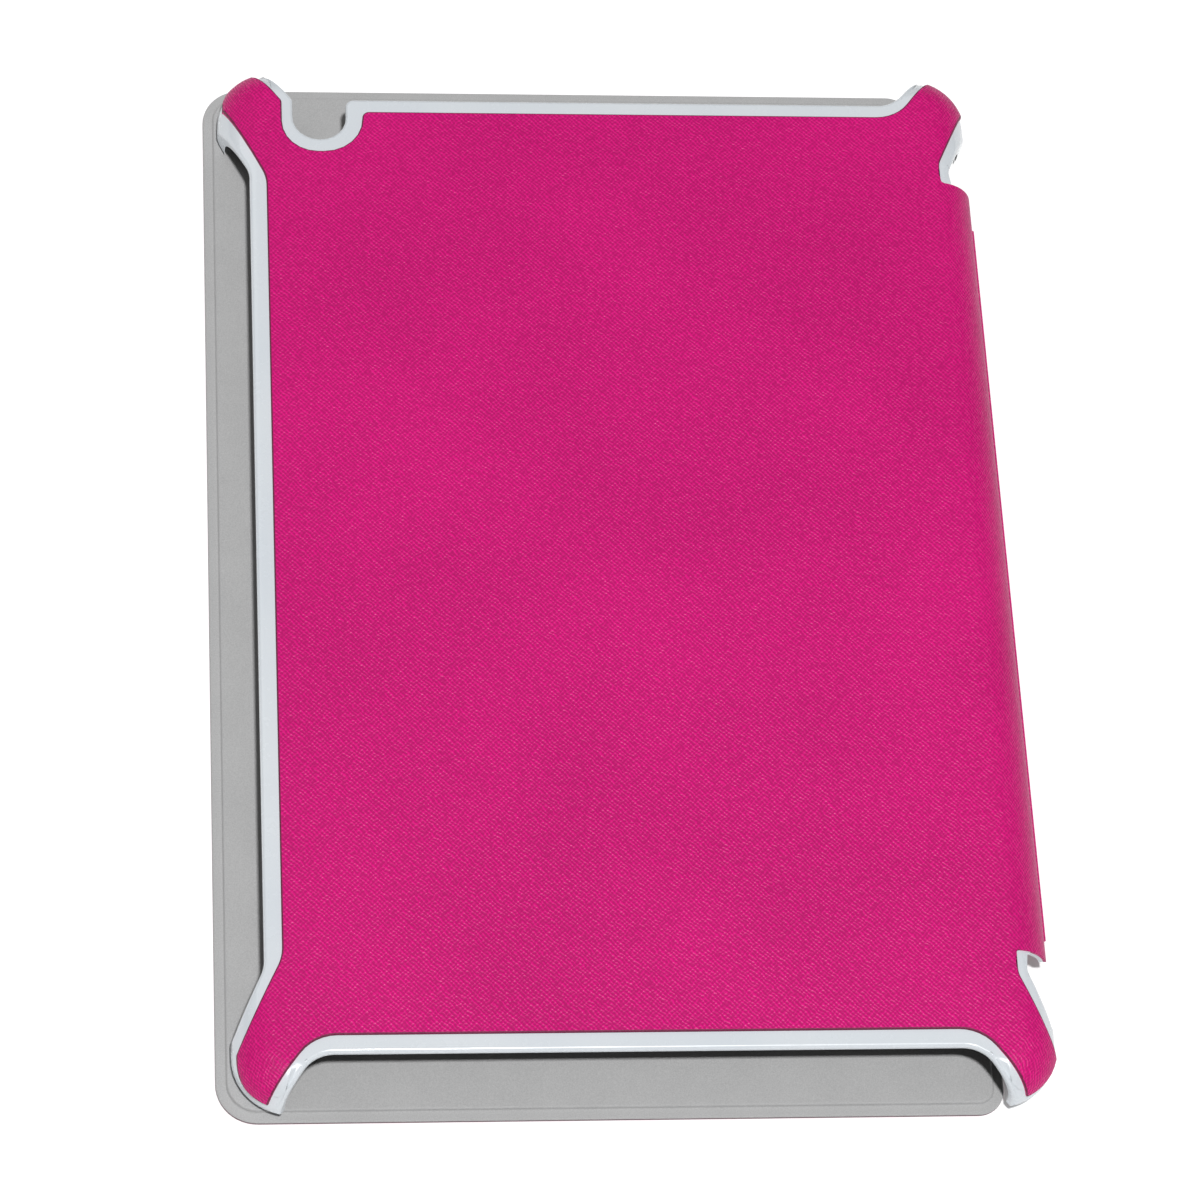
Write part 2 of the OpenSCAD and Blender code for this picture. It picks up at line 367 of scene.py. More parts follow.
class Recipe:
    """The nodes of one material, added by short calls."""

    def __init__(self, name: str) -> None:
        """Start a material.

        Args:
            name: The material's name.
        """
        self.material = bpy.data.materials.new(name)
        self.material.use_nodes = True
        self.tree = self.material.node_tree
        self.shader = self.tree.nodes["Principled BSDF"]
        self.place = self.add("ShaderNodeTexCoord").outputs["Object"]

    def add(self, kind: str, **settings: object) -> bpy.types.Node:
        """Add a node.

        Args:
            kind: Its type.
            **settings: Its own settings.

        Returns:
            The node.
        """
        node = self.tree.nodes.new(kind)
        for key, value in settings.items():
            setattr(node, key, value)
        return node

    def feed(self, node: bpy.types.Node, socket: str | int, value: object) -> None:
        """Link an output to a node's input, or set the input.

        Args:
            node: The node that is fed.
            socket: Its input's name or number.
            value: An output socket, or a plain value.
        """
        if isinstance(value, bpy.types.NodeSocket):
            self.tree.links.new(value, node.inputs[socket])
        else:
            node.inputs[socket].default_value = value

    def sum(self, operation: str, *values: object) -> bpy.types.NodeSocket:
        """Work out a number.

        Args:
            operation: The Math node's operation.
            *values: Outputs or plain numbers.

        Returns:
            The result.
        """
        node = self.add("ShaderNodeMath", operation=operation)
        for place, value in enumerate(values):
            self.feed(node, place, value)
        return node.outputs[0]

    def vector(self, operation: str, *values: object) -> bpy.types.NodeSocket:
        """Work out a vector.

        Args:
            operation: The Vector Math node's operation.
            *values: Outputs or plain vectors.

        Returns:
            The result.
        """
        node = self.add("ShaderNodeVectorMath", operation=operation)
        for place, value in enumerate(values):
            self.feed(node, place, value)
        return node.outputs[0]

    def noise(
        self, place: object, size: float, detail: float = 2.0, rough: float = 0.5
    ) -> bpy.types.Node:
        """Add a noise with patches of about a given size.

        Args:
            place: The vector that it reads.
            size: The patches' size, in metres.
            detail: Its octaves.
            rough: How strong the finer octaves are.

        Returns:
            The noise node.
        """
        node = self.add("ShaderNodeTexNoise")
        self.feed(node, "Vector", place)
        self.feed(node, "Scale", 1 / size)
        self.feed(node, "Detail", detail)
        self.feed(node, "Roughness", rough)
        return node

    def spread(self, value: object, source: Range, target: Range) -> bpy.types.NodeSocket:
        """Stretch a range of numbers on to another.

        Args:
            value: The output to stretch.
            source: Where its own range starts and ends.
            target: The results at that start and that end.

        Returns:
            The stretched number.
        """
        node = self.add("ShaderNodeMapRange")
        for socket, number in (
            ("Value", value),
            ("From Min", source[0]),
            ("From Max", source[1]),
            ("To Min", target[0]),
            ("To Max", target[1]),
        ):
            self.feed(node, socket, number)
        return node.outputs["Result"]

    def blend(self, share: object, first: object, second: object) -> bpy.types.NodeSocket:
        """Mix two colours.

        Args:
            share: How much of the second colour shows.
            first: The first colour.
            second: The second colour.

        Returns:
            The mixed colour.
        """
        node = self.add("ShaderNodeMix", data_type="RGBA")
        for socket, value in ((0, share), (6, first), (7, second)):
            if isinstance(value, tuple):
                value = (*value, 1.0)
            self.feed(node, socket, value)
        return node.outputs[2]

    def bump(self, height: object, depth: float, strength: float = 1.0) -> None:
        """Raise the surface by a pattern.

        Args:
            height: The pattern, from 0 to 1.
            depth: The height of its relief, in metres.
            strength: How strongly it shows.
        """
        node = self.add("ShaderNodeBump")
        self.feed(node, "Height", height)
        self.feed(node, "Distance", depth)
        self.feed(node, "Strength", strength)
        self.feed(self.shader, "Normal", node.outputs["Normal"])

    def set(self, **values: object) -> None:
        """Set the shader's own sockets.

        Args:
            **values: The sockets, with _ for each space.
        """
        for key, value in values.items():
            self.feed(self.shader, key.replace("_", " "), value)


@dataclass(frozen=True)
class CrossGrainLeather:
    """Coated leather pressed with a fine cross-hatch.

    Args:
        name: The material's name.
        face: Its colour on the raised strokes.
        shaded_valley: Its colour between them, darker as painted shade in the grooves.
        pitch: The distance between strokes.
        relief: How high the strokes stand.
        main_length: Length of a stroke of the stronger family, in pitches.
        cross_length: Length of a stroke of the weaker family, in pitches.
        clouds: The size of the faint changes of tone.
        rough: Its roughness, in the valleys and on the strokes.
        top: Height of the flat face that the leather turns down from, or None for a flat piece.
    """

    name: str
    face: Colour = (0.74, 0.008, 0.215)
    shaded_valley: Colour = (0.43, 0.003, 0.125)
    pitch: float = 0.62 * MM
    relief: float = 0.085 * MM
    main_length: float = 3.2
    cross_length: float = 2.4
    clouds: float = 38 * MM
    rough: Range = (0.52, 0.34)
    top: float | None = None

    def laid_flat(self, recipe: Recipe) -> bpy.types.NodeSocket:
        """Read the surface as if the leather that turns down the sides were laid flat.

        Args:
            recipe: The material's nodes.

        Returns:
            The place on the flat leather.
        """
        if self.top is None:
            return recipe.place
        parts = recipe.add("ShaderNodeSeparateXYZ")
        recipe.feed(parts, 0, recipe.place)
        drop = recipe.sum("SUBTRACT", self.top, parts.outputs["Z"])
        outward = recipe.sum("SIGN", parts.outputs["X"])
        across = recipe.sum("MULTIPLY_ADD", drop, outward, parts.outputs["X"])
        flat = recipe.add("ShaderNodeCombineXYZ")
        recipe.feed(flat, "X", across)
        recipe.feed(flat, "Y", parts.outputs["Y"])
        return flat.outputs[0]

    def strokes(
        self, recipe: Recipe, place: object, turn: float, stretch: float
    ) -> bpy.types.NodeSocket:
        """Make one family of short slanting strokes.

        Args:
            recipe: The material's nodes.
            place: The place on the flat leather.
            turn: The direction across the strokes, in degrees.
            stretch: How many pitches long a stroke is.

        Returns:
            Its height, from 0 to 1.
        """
        turned = recipe.add("ShaderNodeMapping")
        recipe.feed(turned, "Vector", place)
        recipe.feed(turned, "Rotation", (0.0, 0.0, math.radians(turn)))
        parts = recipe.add("ShaderNodeSeparateXYZ")
        recipe.feed(parts, 0, turned.outputs[0])
        per_metre = 2 * math.pi / self.pitch
        wave = recipe.sum("SINE", recipe.sum("MULTIPLY", parts.outputs["X"], per_metre))
        drawn = recipe.vector("MULTIPLY", turned.outputs[0], (1.0, 1 / stretch, 1.0))
        broken = recipe.noise(drawn, 0.62 * self.pitch, 1.0).outputs[0]
        lifted = recipe.spread(broken, (0.35, 0.62), FULL)
        ridge = recipe.spread(wave, (-0.6, 0.9), FULL)
        return recipe.sum("MULTIPLY", recipe.sum("MULTIPLY_ADD", lifted, 0.8, 0.2), ridge)

    def make(self) -> bpy.types.Material:
        """Build the material.

        Returns:
            The material.
        """
        recipe = Recipe(self.name)
        flat = self.laid_flat(recipe)
        wobble = recipe.noise(flat, 2.6 * self.pitch, 2.0).outputs[1]
        moved = recipe.vector("MULTIPLY_ADD", wobble, (1.3 * self.pitch,) * 3, flat)
        main = self.strokes(recipe, moved, -45.0, self.main_length)
        cross = self.strokes(recipe, moved, 45.0, self.cross_length)
        height = recipe.sum("MULTIPLY_ADD", cross, 0.5, recipe.sum("MULTIPLY", main, 0.75))
        cloud = recipe.noise(flat, self.clouds, 2.0).outputs[0]
        # Painted shade: the grain's pressed pattern is real, but its grooves are painted darker,
        # where shade would fall, and its raised strokes lighter.
        shade_by_height = recipe.spread(height, (0.05, 0.75), (0.0, 0.9))
        tone = recipe.sum("ADD", shade_by_height, recipe.spread(cloud, WIDE_NOISE, (-0.1, 0.15)))
        share = recipe.sum("MINIMUM", recipe.sum("MAXIMUM", tone, 0.0), 1.0)
        recipe.set(
            Base_Color=recipe.blend(share, self.shaded_valley, self.face),
            Roughness=recipe.spread(height, (0.0, 0.9), self.rough),
            Specular_IOR_Level=0.22,
        )
        recipe.bump(height, self.relief, 0.9)
        return recipe.material


@dataclass(frozen=True)
class CutLeatherEdge:
    """The cut edge of the leather, where its darker backing shows.

    Args:
        name: The material's name.
        core: The backing's colour.
        coat: The colour of the coating at its upper side.
        fibre: The size of its fibres.
        rough: Its roughness, at the core and at the coat.
        relief: How high the fibres stand.
    """

    name: str
    core: Colour = (0.11, 0.004, 0.035)
    coat: Colour = (0.20, 0.006, 0.06)
    fibre: float = 0.35 * MM
    rough: Range = (0.72, 0.55)
    relief: float = 0.05 * MM

    def make(self) -> bpy.types.Material:
        """Build the material.

        Returns:
            The material.
        """
        recipe = Recipe(self.name)
        layered = recipe.vector("MULTIPLY", recipe.place, (1.0, 1.0, 2.5))
        fibres = recipe.noise(layered, self.fibre, 3.0, 0.6).outputs[0]
        recipe.set(
            Base_Color=recipe.blend(recipe.spread(fibres, MID_NOISE, FULL), self.core, self.coat),
            Roughness=recipe.spread(fibres, WIDE_NOISE, self.rough),
        )
        recipe.bump(fibres, self.relief, 0.6)
        return recipe.material


@dataclass(frozen=True)
class MouldedPlastic:
    """Glossy white moulding, with the faint waves of a moulded skin.

    Args:
        name: The material's name.
        light: Its colour.
        dark: Its colour where the moulding flowed last.
        waves: The size of its changes of tone.
        grain: The size of the faint unevenness of its skin.
        scuffs: The size of its scuffed patches.
        rough: Its roughness, where clean and where scuffed.
    """

    name: str
    light: Colour = (0.67, 0.705, 0.735)
    dark: Colour = (0.625, 0.665, 0.705)
    waves: float = 24 * MM
    grain: float = 0.8 * MM
    scuffs: float = 3 * MM
    rough: Range = (0.2, 0.34)

    def make(self) -> bpy.types.Material:
        """Build the material.

        Returns:
            The material.
        """
        recipe = Recipe(self.name)
        flow = recipe.noise(recipe.place, self.waves, 3.0).outputs[0]
        skin = recipe.noise(recipe.place, self.grain, 2.0).outputs[0]
        scuff = recipe.noise(recipe.place, self.scuffs, 5.0, 0.7).outputs[0]
        recipe.set(
            Base_Color=recipe.blend(recipe.spread(flow, WIDE_NOISE, FULL), self.light, self.dark),
            Roughness=recipe.spread(scuff, (0.35, 0.75), self.rough),
            Coat_Weight=0.35,
            Coat_Roughness=0.08,
            Subsurface_Weight=0.06,
            Subsurface_Radius=(1.2 * MM, 1.2 * MM, 1.3 * MM),
        )
        recipe.bump(skin, 0.004 * MM, 0.5)
        return recipe.material


@dataclass(frozen=True)
class SuedeLining:
    """Fine suede or flocking with a short nap.

    Args:
        name: The material's name.
        pale: Its colour where the nap stands.
        deep: Its colour where the nap is brushed down.
        nap: The size of its tufts.
        brushing: The size of the patches that are brushed one way.
        relief: How high the tufts stand.
    """

    name: str
    pale: Colour = (0.48, 0.48, 0.48)
    deep: Colour = (0.34, 0.34, 0.342)
    nap: float = 0.22 * MM
    brushing: float = 9 * MM
    relief: float = 0.07 * MM

    def make(self) -> bpy.types.Material:
        """Build the material.

        Returns:
            The material.
        """
        recipe = Recipe(self.name)
        tufts = recipe.noise(recipe.place, self.nap, 3.0, 0.65).outputs[0]
        brushed = recipe.noise(recipe.place, self.brushing, 4.0, 0.6).outputs[0]
        fine = recipe.spread(tufts, WIDE_NOISE, (0.0, 0.7))
        tone = recipe.sum("ADD", fine, recipe.spread(brushed, MID_NOISE, (0.08, 0.2)))
        recipe.set(
            Base_Color=recipe.blend(tone, self.deep, self.pale),
            Roughness=recipe.spread(tufts, WIDE_NOISE, (1.0, 0.85)),
            Specular_IOR_Level=0.25,
            Sheen_Weight=0.25,
            Sheen_Roughness=0.5,
        )
        recipe.bump(tufts, self.relief, 0.7)
        return recipe.material


@dataclass(frozen=True)
class PressedBoard:
    """Stiff board of pressed fibres.

    Args:
        name: The material's name.
        pale: Its pale fibres.
        dark: Its dark fibres.
        fibre: The size of its fibres.
        relief: How high the fibres stand.
    """

    name: str
    pale: Colour = (0.42, 0.34, 0.24)
    dark: Colour = (0.25, 0.19, 0.12)
    fibre: float = 0.5 * MM
    relief: float = 0.05 * MM

    def make(self) -> bpy.types.Material:
        """Build the material.

        Returns:
            The material.
        """
        recipe = Recipe(self.name)
        drawn = recipe.vector("MULTIPLY", recipe.place, (1.0, 0.25, 1.0))
        fibres = recipe.noise(drawn, self.fibre, 5.0, 0.7).outputs[0]
        recipe.set(
            Base_Color=recipe.blend(recipe.spread(fibres, MID_NOISE, FULL), self.dark, self.pale),
            Roughness=recipe.spread(fibres, WIDE_NOISE, (0.95, 0.8)),
        )
        recipe.bump(fibres, self.relief, 0.6)
        return recipe.material


@dataclass(frozen=True)
class NickelPlating:
    """Nickel plating with fine tumbling marks.

    Args:
        name: The material's name.
        bright: Its bright tone.
        dull: Its dull tone.
        marks: The size of its marks.
        relief: How deep they are.
    """

    name: str
    bright: Colour = (0.70, 0.69, 0.66)
    dull: Colour = (0.48, 0.47, 0.45)
    marks: float = 0.6 * MM
    relief: float = 0.01 * MM

    def make(self) -> bpy.types.Material:
        """Build the material.

        Returns:
            The material.
        """
        recipe = Recipe(self.name)
        marks = recipe.noise(recipe.place, self.marks, 6.0, 0.7).outputs[0]
        recipe.set(
            Base_Color=recipe.blend(recipe.spread(marks, MID_NOISE, FULL), self.dull, self.bright),
            Metallic=1.0,
            Roughness=recipe.spread(marks, WIDE_NOISE, (0.22, 0.45)),
        )
        recipe.bump(marks, self.relief, 0.5)
        return recipe.material


@dataclass(frozen=True)
class PaleFloor:
    """Matt white floor.

    Args:
        name: The material's name.
        tone: Its colour.
        glow: A faint light of its own, which keeps it white at its edges.
    """

    name: str
    tone: Colour = (0.93, 0.93, 0.93)
    glow: float = 0.16

    def make(self) -> bpy.types.Material:
        """Build the material.

        Returns:
            The material.
        """
        recipe = Recipe(self.name)
        faint = recipe.noise(recipe.place, 0.4, 1.0).outputs[0]
        darker = tuple(0.99 * part for part in self.tone)
        recipe.set(
            Base_Color=recipe.blend(faint, darker, self.tone),
            Roughness=0.9,
            Specular_IOR_Level=0.1,
            Emission_Color=(1.0, 1.0, 1.0, 1.0),
            Emission_Strength=self.glow,
        )
        return recipe.material


# ---------------------------------------------------------------------------------------------
# The case
# ---------------------------------------------------------------------------------------------


@dataclass
class DomedForm:
    """The rounded box that the shell's outside follows.

    Args:
        half_x: Half its width.
        half_y: Half its length.
        top: Height of its flat face.
        corner: Its corners' radius in plan.
        shoulder: The radius between its flat face and its walls.
    """

    half_x: float
    half_y: float
    top: float
    corner: float = 10 * MM
    shoulder: float = 7 * MM

    def height_over(self, point: Vector) -> float:
        """How far a point stands off the form.

        Args:
            point: A point on or near the form.

        Returns:
            The distance, negative inside.
        """
        side = Vector(
            (abs(point.x) - self.half_x + self.corner, abs(point.y) - self.half_y + self.corner)
        )
        beyond = Vector((max(side.x, 0.0), max(side.y, 0.0))).length
        plan = beyond + min(max(side.x, side.y), 0.0) - self.corner
        rise = Vector((plan + self.shoulder, point.z - self.top + self.shoulder))
        over = Vector((max(rise.x, 0.0), max(rise.y, 0.0))).length
        return over + min(max(rise.x, rise.y), 0.0) - self.shoulder

    def carries(
        self, edge: bmesh.types.BMEdge, stand_off: float, within: float = 0.12 * MM
    ) -> bool:
        """Whether an edge lies on the form, or on a surface that far outside it.

        Args:
            edge: The edge.
            stand_off: The surface's distance from the form.
            within: How far off it may be.

        Returns:
            True if both of its ends do.
        """
        return all(abs(self.height_over(vert.co) - stand_off) < within for vert in edge.verts)


@dataclass
class Shell:
    """The white moulding and the leather on its back and spine.

    Args:
        rim_round: How far the moulding's outer edges are rounded.
        leather_round: How far the leather's upper edges are rounded.
        leather: The thickness of the leather.
        side_inset: Distance from the wall to the cut edge on the open side.
        half_length: Half the moulding's length over its end walls.
        pocket_thickness: The least thickness of the moulding between its outside and its pocket.
        lip_top: Height of the top of the lips that hold the tablet.
        spine_notch: Depth of the notches between the spine and its grips.
        spine_end: Half the length of the spine wall.
        step_reach: How far the small step at the spine's end reaches along the spine.
        long_line: Length from which a facet line counts as running along a side.
        skirt_drop: How far the leather's skirt is drawn down on to the roll at the hinge.
        pocket_shade: The two near-black tones painted inside the pocket as painted shade, for the
            shadow in the gap under the shell.
    """

    rim_round: float = 0.7 * MM
    leather_round: float = 0.26 * MM
    leather: float = 0.5 * MM
    side_inset: float = 5.5 * MM
    half_length: float = 101.4 * MM
    pocket_thickness: float = 1.0 * MM
    lip_top: float = 2.5 * MM
    spine_notch: float = 4.3 * MM
    spine_end: float = 76.2 * MM
    step_reach: float = 1.2 * MM
    long_line: float = 5 * MM
    skirt_drop: float = 0.75 * MM
    pocket_shade: tuple[Colour, Colour] = ((0.022, 0.022, 0.023), (0.012, 0.012, 0.013))
    form: DomedForm = field(init=False)

    def __post_init__(self) -> None:
        """Read the form from the moulding's own box."""
        _, high = box_of("back_shell")
        self.form = DomedForm(high.x, self.half_length, high.z)

    def draw_skirt_down(self, piece: bpy.types.Object) -> None:
        """Draw the skirt's lower edge down on to the hinge's roll.

        Args:
            piece: The leather.
        """
        low, _ = box_of("back_skin")
        with editing(piece, "FACE") as mesh:
            pick_faces(
                piece,
                mesh,
                lambda face: face.normal.z < -LEVEL
                and abs(face.calc_center_median().z - low.z) < CLOSE,
            )
            bpy.ops.transform.translate(value=(0, 0, -self.skirt_drop))

    def at_spine_end(self, edge: bmesh.types.BMEdge) -> bool:
        """Whether an edge belongs to the small step where the spine's leather ends."""
        at = middle(edge)
        on_shoulder = at.x > self.form.half_x - self.form.shoulder - MM
        return on_shoulder and abs(abs(at.y) - self.spine_end) < self.step_reach

    def crowds_rim(self, edge: bmesh.types.BMEdge) -> bool:
        """Whether a facet line lies where the rounding of a side's cut edge has to go."""
        inset = self.side_inset if middle(edge).x < 0 else self.spine_notch
        away = abs(abs(middle(edge).x) - self.form.half_x + inset)
        run = edge.verts[1].co - edge.verts[0].co
        along = abs(run.y) > ALONG * run.length and run.length > self.long_line
        return along and not is_sharp(edge) and 0.1 * CLOSE < away < self.rim_round + CLOSE

    def faces_pocket(self, face: bmesh.types.BMFace) -> bool:
        """Whether a face of the moulding is part of the pocket's ceiling or walls."""
        at = face.calc_center_median()
        depth = self.form.height_over(at)
        step = self.pocket_thickness / 2
        inward = self.form.height_over(at - step * face.normal) - depth > 0.7 * step
        return inward and at.z > self.lip_top + CLOSE and depth < CLOSE - self.pocket_thickness

    def folded_over(self, face: bmesh.types.BMFace) -> bool:
        """Whether a rounding that met a facet line turned a face near the outside inwards."""
        at = face.calc_center_median()
        depth = self.form.height_over(at)
        rise = self.form.height_over(at + CLOSE * face.normal) - depth
        return depth > -self.rim_round - CLOSE and rise < -0.1 * CLOSE

    def moulding(self) -> bpy.types.Object:
        """Make the moulding, with every edge softened as a mould leaves it.

        Returns:
            The moulding.
        """
        piece = node_copy("back_shell", "shell_moulding")
        with editing(piece) as mesh:
            pick_edges(piece, mesh, self.crowds_rim)
            bpy.ops.mesh.dissolve_edges(use_verts=False)
        outer = round_edges(
            piece,
            self.rim_round,
            4,
            lambda edge: is_sharp(edge)
            and self.form.carries(edge, 0.0)
            and not self.at_spine_end(edge),
        )
        LOG.info("shell_moulding: %d outer edges rounded", outer)
        with editing(piece, "FACE") as mesh:
            if folded := pick_faces(piece, mesh, self.folded_over):
                bpy.ops.mesh.edge_collapse()
        LOG.info("shell_moulding: %d folded faces closed up", folded)
        # Painted shade: the pocket's ceiling and walls get a near-black suede that stands in for
        # the shadow in the gap under the shell.
        pocket_shade = SuedeLining("pocket_painted_shade", *self.pocket_shade)
        dress(piece, MouldedPlastic("white_moulding").make(), pocket_shade.make())
        shade_painted = paint_faces(piece, self.faces_pocket)
        LOG.info("shell_moulding: %d flocked faces in the pocket", shade_painted)
        smooth(piece)
        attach(piece, Body.SHELL.value)
        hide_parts("back_shell")
        return piece

    def is_cut_wall(self, face: bmesh.types.BMFace) -> bool:
        """Whether a face of the leather is its cut edge, halfway through its thickness."""
        outright = abs(face.normal.z) < UPRIGHT or face.normal.z < -LEVEL
        off = self.form.height_over(face.calc_center_median()) - self.leather / 2
        return outright and abs(off) < 0.2 * self.leather

    def facing(self) -> bpy.types.Object:
        """Make the leather on the back and the spine.

        Returns:
            The leather.
        """
        piece = node_copy("back_skin", "back_leather")
        self.draw_skirt_down(piece)
        grain = CrossGrainLeather("back_grain", top=self.form.top + self.leather)
        dress(piece, grain.make(), CutLeatherEdge("cut_edge").make())
        LOG.info("back_leather: %d cut walls", paint_faces(piece, self.is_cut_wall))
        outer = round_edges(
            piece,
            self.leather_round,
            2,
            lambda edge: is_sharp(edge)
            and self.form.carries(edge, self.leather)
            and not self.at_spine_end(edge),
            material=1,
        )
        LOG.info("back_leather: %d edges rounded", outer)
        smooth(piece)
        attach(piece, Body.SHELL.value)
        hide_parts("back_skin")
        return piece


@dataclass
class Cover:
    """The stiff cover: leather outside, board and magnets, and the suede lining over them.

    Args:
        open_corner: Its corners' radius on the open side.
        hinge_corner: Its corners' radius on the hinge side.
        border: Width of the pressed border round the board.
        cloth: Thickness of the lining.
        board: Thickness of the board.
        leather_round: How far the leather's outer edge is rounded.
        step_round: How far the lining is rounded where it leaves the top of the board.
        foot_round: How far it is rounded where it meets the border.
    """

    open_corner: float = 7 * MM
    hinge_corner: float = 4.5 * MM
    border: float = 2.2 * MM
    cloth: float = 0.4 * MM
    board: float = 0.7 * MM
    leather_round: float = 0.22 * MM
    step_round: float = 0.38 * MM
    foot_round: float = 0.28 * MM

    def round_corners(self, piece: bpy.types.Object) -> None:
        """Round the four upright corners.

        Args:
            piece: A block of the cover's plan.
        """
        round_edges(
            piece,
            self.open_corner,
            CORNER_STEPS,
            lambda edge: is_upright(edge) and middle(edge).x < 0,
        )
        round_edges(
            piece,
            self.hinge_corner,
            CORNER_STEPS,
            lambda edge: is_upright(edge) and is_sharp(edge) and middle(edge).x > 0,
        )

    def outer_leather(self) -> bpy.types.Object:
        """Make the leather on the cover's outer face.

        Returns:
            The leather.
        """
        low, high = box_of("cover_skin")
        piece = block("cover_leather", low, high)
        self.round_corners(piece)
        round_edges(
            piece,
            self.leather_round,
            3,
            lambda edge: is_sharp(edge) and abs(middle(edge).z - low.z) < CLOSE,
        )
        # The cover's cut edge is near-black, a dark hairline round the cover's rim.
        cut = CutLeatherEdge("cover_edge", (0.05, 0.012, 0.022), (0.10, 0.010, 0.035))
        dress(piece, CrossGrainLeather("cover_grain").make(), cut.make())
        paint_faces(piece, lambda face: abs(face.normal.z) < 0.98)
        smooth(piece)
        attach(piece, Body.COVER.value)
        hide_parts("cover_skin")
        return piece

    def lining(self) -> bpy.types.Object:
        """Make the lining, raised over the board and pressed down round it.

        Returns:
            The lining.
        """
        low, high = box_of("cover_lining")
        piece = block("cover_suede", low, Vector((high.x, high.y, low.z + self.cloth)))
        self.round_corners(piece)
        with editing(piece, "FACE") as mesh:
            pick_faces(piece, mesh, lambda face: face.normal.z > LEVEL)
            bpy.ops.mesh.inset(thickness=self.border - self.cloth)
            bpy.ops.mesh.extrude_region_move(TRANSFORM_OT_translate={"value": (0, 0, self.board)})
        with editing(piece, "FACE") as mesh:
            pick_faces(piece, mesh, lambda face: face.normal.z < -LEVEL)
            bpy.ops.mesh.inset(thickness=self.border)
            bpy.ops.mesh.extrude_region_move(TRANSFORM_OT_translate={"value": (0, 0, self.board)})
        step = low.z + self.cloth
        round_edges(
            piece,
            self.step_round,
            4,
            lambda edge: is_sharp(edge) and abs(middle(edge).z - high.z) < NEAR,
        )
        round_edges(
            piece,
            self.foot_round,
            3,
            lambda edge: is_sharp(edge) and abs(middle(edge).z - step) < NEAR,
        )
        smooth(piece)
        dress(piece, SuedeLining("grey_suede").make())
        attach(piece, Body.COVER.value)
        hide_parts("cover_lining")
        return piece

    def dress_inside(self) -> None:
        """Give the board and the magnets, which stay as they are, their finishes."""
        dress(frame["nodes"]["cover_board"], PressedBoard("pressed_board").make())
        plating = NickelPlating("nickel_plating").make()
        for name, node in frame["nodes"].items():
            if "magnet" in name:
                dress(node, plating)


@dataclass
class HingeStrip:
    """The strip between the spine and the cover, with a rolled fold at each end.

    Args:
        spine_roll: Radius of the roll along the spine.
        cover_roll: Radius of the roll along the cover.
        lining_round: How far the lining's edges are rounded.
        flat_width: Not used; a width wider than the strip. The least width that a sheet is
            declared with, which is wider than the strip.
    """

    spine_roll: float = 0.4 * MM
    cover_roll: float = 0.3 * MM
    lining_round: float = 0.1 * MM
    flat_width: float = 10 * MM

    def leather(self) -> bpy.types.Object:
        """Make the strip's leather with its two rolled folds.

        Returns:
            The leather.
        """
        piece = node_copy("hinge_skin", "hinge_leather")
        low, high = box_of("hinge_skin")
        length = high.y - low.y
        for joint, radius in (("spine_fold", self.spine_roll), ("cover_fold", self.cover_roll)):
            cut_with(piece, rod(joint, radius, length, joint_place(joint)), "UNION")
        smooth(piece)
        dress(piece, CrossGrainLeather("hinge_grain").make())
        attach(piece, Body.STRIP.value)
        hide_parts("hinge_skin")
        return piece

    def lining(self) -> bpy.types.Object:
        """Make the strip's lining.

        Returns:
            The lining.
        """
        piece = node_copy("hinge_lining", "hinge_suede")
        round_edges(piece, self.lining_round, 2, is_sharp)
        smooth(piece)
        dress(piece, SuedeLining("strip_suede").make())
        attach(piece, Body.STRIP.value)
        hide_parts("hinge_lining")
        return piece


def joint_place(name: str) -> Vector:
    """Where a joint's axis is.

    Args:
        name: The joint's name.

    Returns:
        A point on its axis.
    """
    joint = next(joint for joint in frame["record"]["behaviour"]["joints"] if joint["name"] == name)
    return Vector(joint["pos_m"])


# ---------------------------------------------------------------------------------------------
# The studio
# ---------------------------------------------------------------------------------------------


@dataclass(frozen=True)
class Lamp:
    """A soft square light that faces the case.

    Args:
        name: Its name.
        place: Where it hangs.
        size: The length of its sides.
        power: Its power, in watts.
    """

    name: str
    place: Colour
    size: float
    power: float

    def hang(self) -> None:
        """Add the light."""
        lamp = bpy.data.lights.new(self.name, "AREA")
        lamp.size = self.size
        lamp.energy = self.power
        holder = bpy.data.objects.new(self.name, lamp)
        holder.location = self.place
        holder.rotation_euler = (-Vector(self.place)).to_track_quat("-Z", "Y").to_euler()
        bpy.context.scene.collection.objects.link(holder)


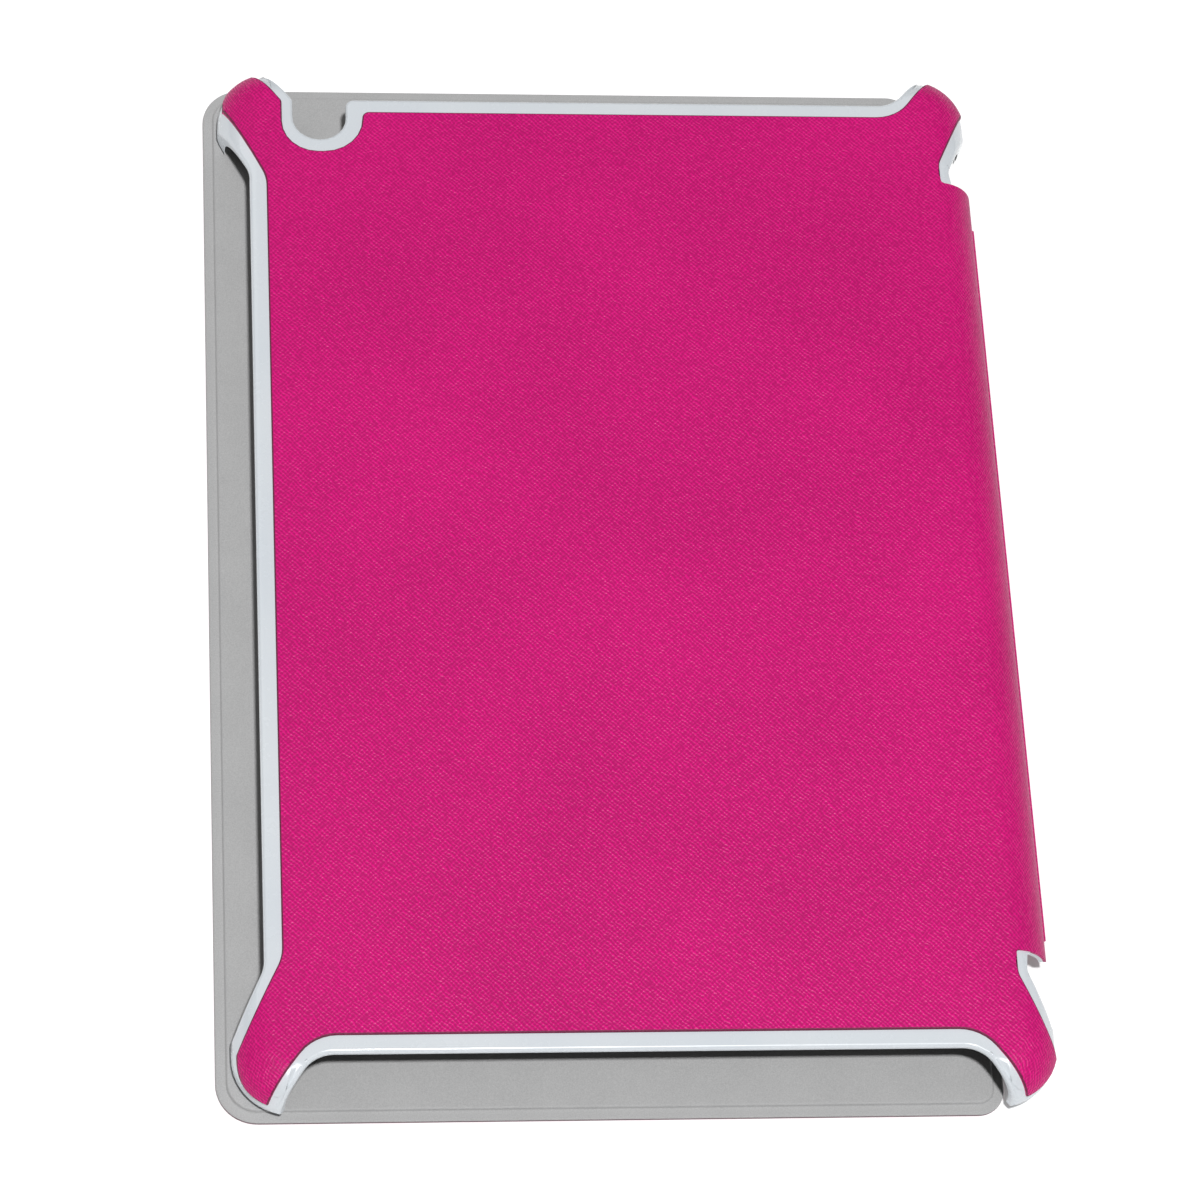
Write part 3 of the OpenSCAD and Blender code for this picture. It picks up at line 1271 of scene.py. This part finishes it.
@dataclass
class Studio:
    """A pale floor, soft lights and the camera.

    Args:
        floor_drop: How far the floor lies below the cover, for the roll at the hinge.
        floor_size: The length of the floor's sides.
        room_light: Strength of the room's even light.
        eye: The camera's place.
        aim: The point that it looks at.
        roll: Its turn round its own line of sight, in degrees.
        lens: Its lens, in millimetres.
        sensor: The width of its sensor, in millimetres.
        lamps: The lights.
    """

    floor_drop: float = 0.3 * MM
    floor_size: float = 6.0
    room_light: float = 0.14
    eye: Vector = field(default_factory=lambda: Vector((-0.09094, -0.39456, 0.73591)))
    aim: Vector = field(default_factory=lambda: Vector((-0.0030, -0.0040, 0.0)))
    roll: float = 11.16
    lens: float = 143.47
    sensor: float = 36.0
    lamps: tuple[Lamp, ...] = (
        Lamp("key", (0.03, -0.50, 1.60), 0.11, 26.0),
        Lamp("fill", (-0.7, 0.9, 1.0), 0.9, 2.0),
    )

    def build(self) -> None:
        """Set up the floor, the lights and the camera."""
        self.floor()
        self.world()
        for lamp in self.lamps:
            lamp.hang()
        self.camera()
        bpy.context.scene.view_settings.view_transform = "Standard"

    def floor(self) -> None:
        """Add the floor."""
        bpy.ops.object.select_all(action="DESELECT")
        bpy.ops.mesh.primitive_plane_add(size=self.floor_size, location=(0, 0, -self.floor_drop))
        piece = bpy.context.active_object
        piece.name = "floor"
        settle(piece)
        dress(piece, PaleFloor("pale_floor").make())

    def world(self) -> None:
        """Give the room its even white light."""
        world = bpy.data.worlds.new("room")
        world.use_nodes = True
        background = world.node_tree.nodes["Background"]
        background.inputs["Color"].default_value = (1, 1, 1, 1)
        background.inputs["Strength"].default_value = self.room_light
        bpy.context.scene.world = world

    def camera(self) -> None:
        """Add the camera."""
        lens = bpy.data.cameras.new("camera")
        lens.lens = self.lens
        lens.sensor_width = self.sensor
        holder = bpy.data.objects.new("camera", lens)
        looking = (self.aim - self.eye).to_track_quat("-Z", "Y").to_matrix()
        turned = looking @ Matrix.Rotation(math.radians(self.roll), 3, "Z")
        holder.matrix_world = Matrix.Translation(self.eye) @ turned.to_4x4()
        bpy.context.scene.collection.objects.link(holder)
        bpy.context.scene.camera = holder


def main() -> None:
    """Build the studio and the case, and report each piece."""
    logging.basicConfig(level=logging.INFO, format="%(name)s: %(message)s")
    Studio().build()
    shell, strip, cover = Shell(), HingeStrip(), Cover()
    pieces = [
        shell.moulding(),
        shell.facing(),
        strip.leather(),
        strip.lining(),
        cover.outer_leather(),
        cover.lining(),
    ]
    cover.dress_inside()
    for piece in pieces:
        LOG.info("%s: %d faces", piece.name, len(piece.data.polygons))
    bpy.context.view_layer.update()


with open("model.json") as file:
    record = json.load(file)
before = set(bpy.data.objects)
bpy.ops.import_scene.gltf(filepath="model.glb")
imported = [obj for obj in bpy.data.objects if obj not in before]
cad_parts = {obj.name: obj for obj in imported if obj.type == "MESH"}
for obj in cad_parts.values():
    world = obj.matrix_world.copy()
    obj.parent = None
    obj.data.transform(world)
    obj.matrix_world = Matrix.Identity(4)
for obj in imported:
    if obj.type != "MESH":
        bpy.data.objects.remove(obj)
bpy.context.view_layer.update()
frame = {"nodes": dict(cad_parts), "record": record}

if __name__ == "__main__":
    main()
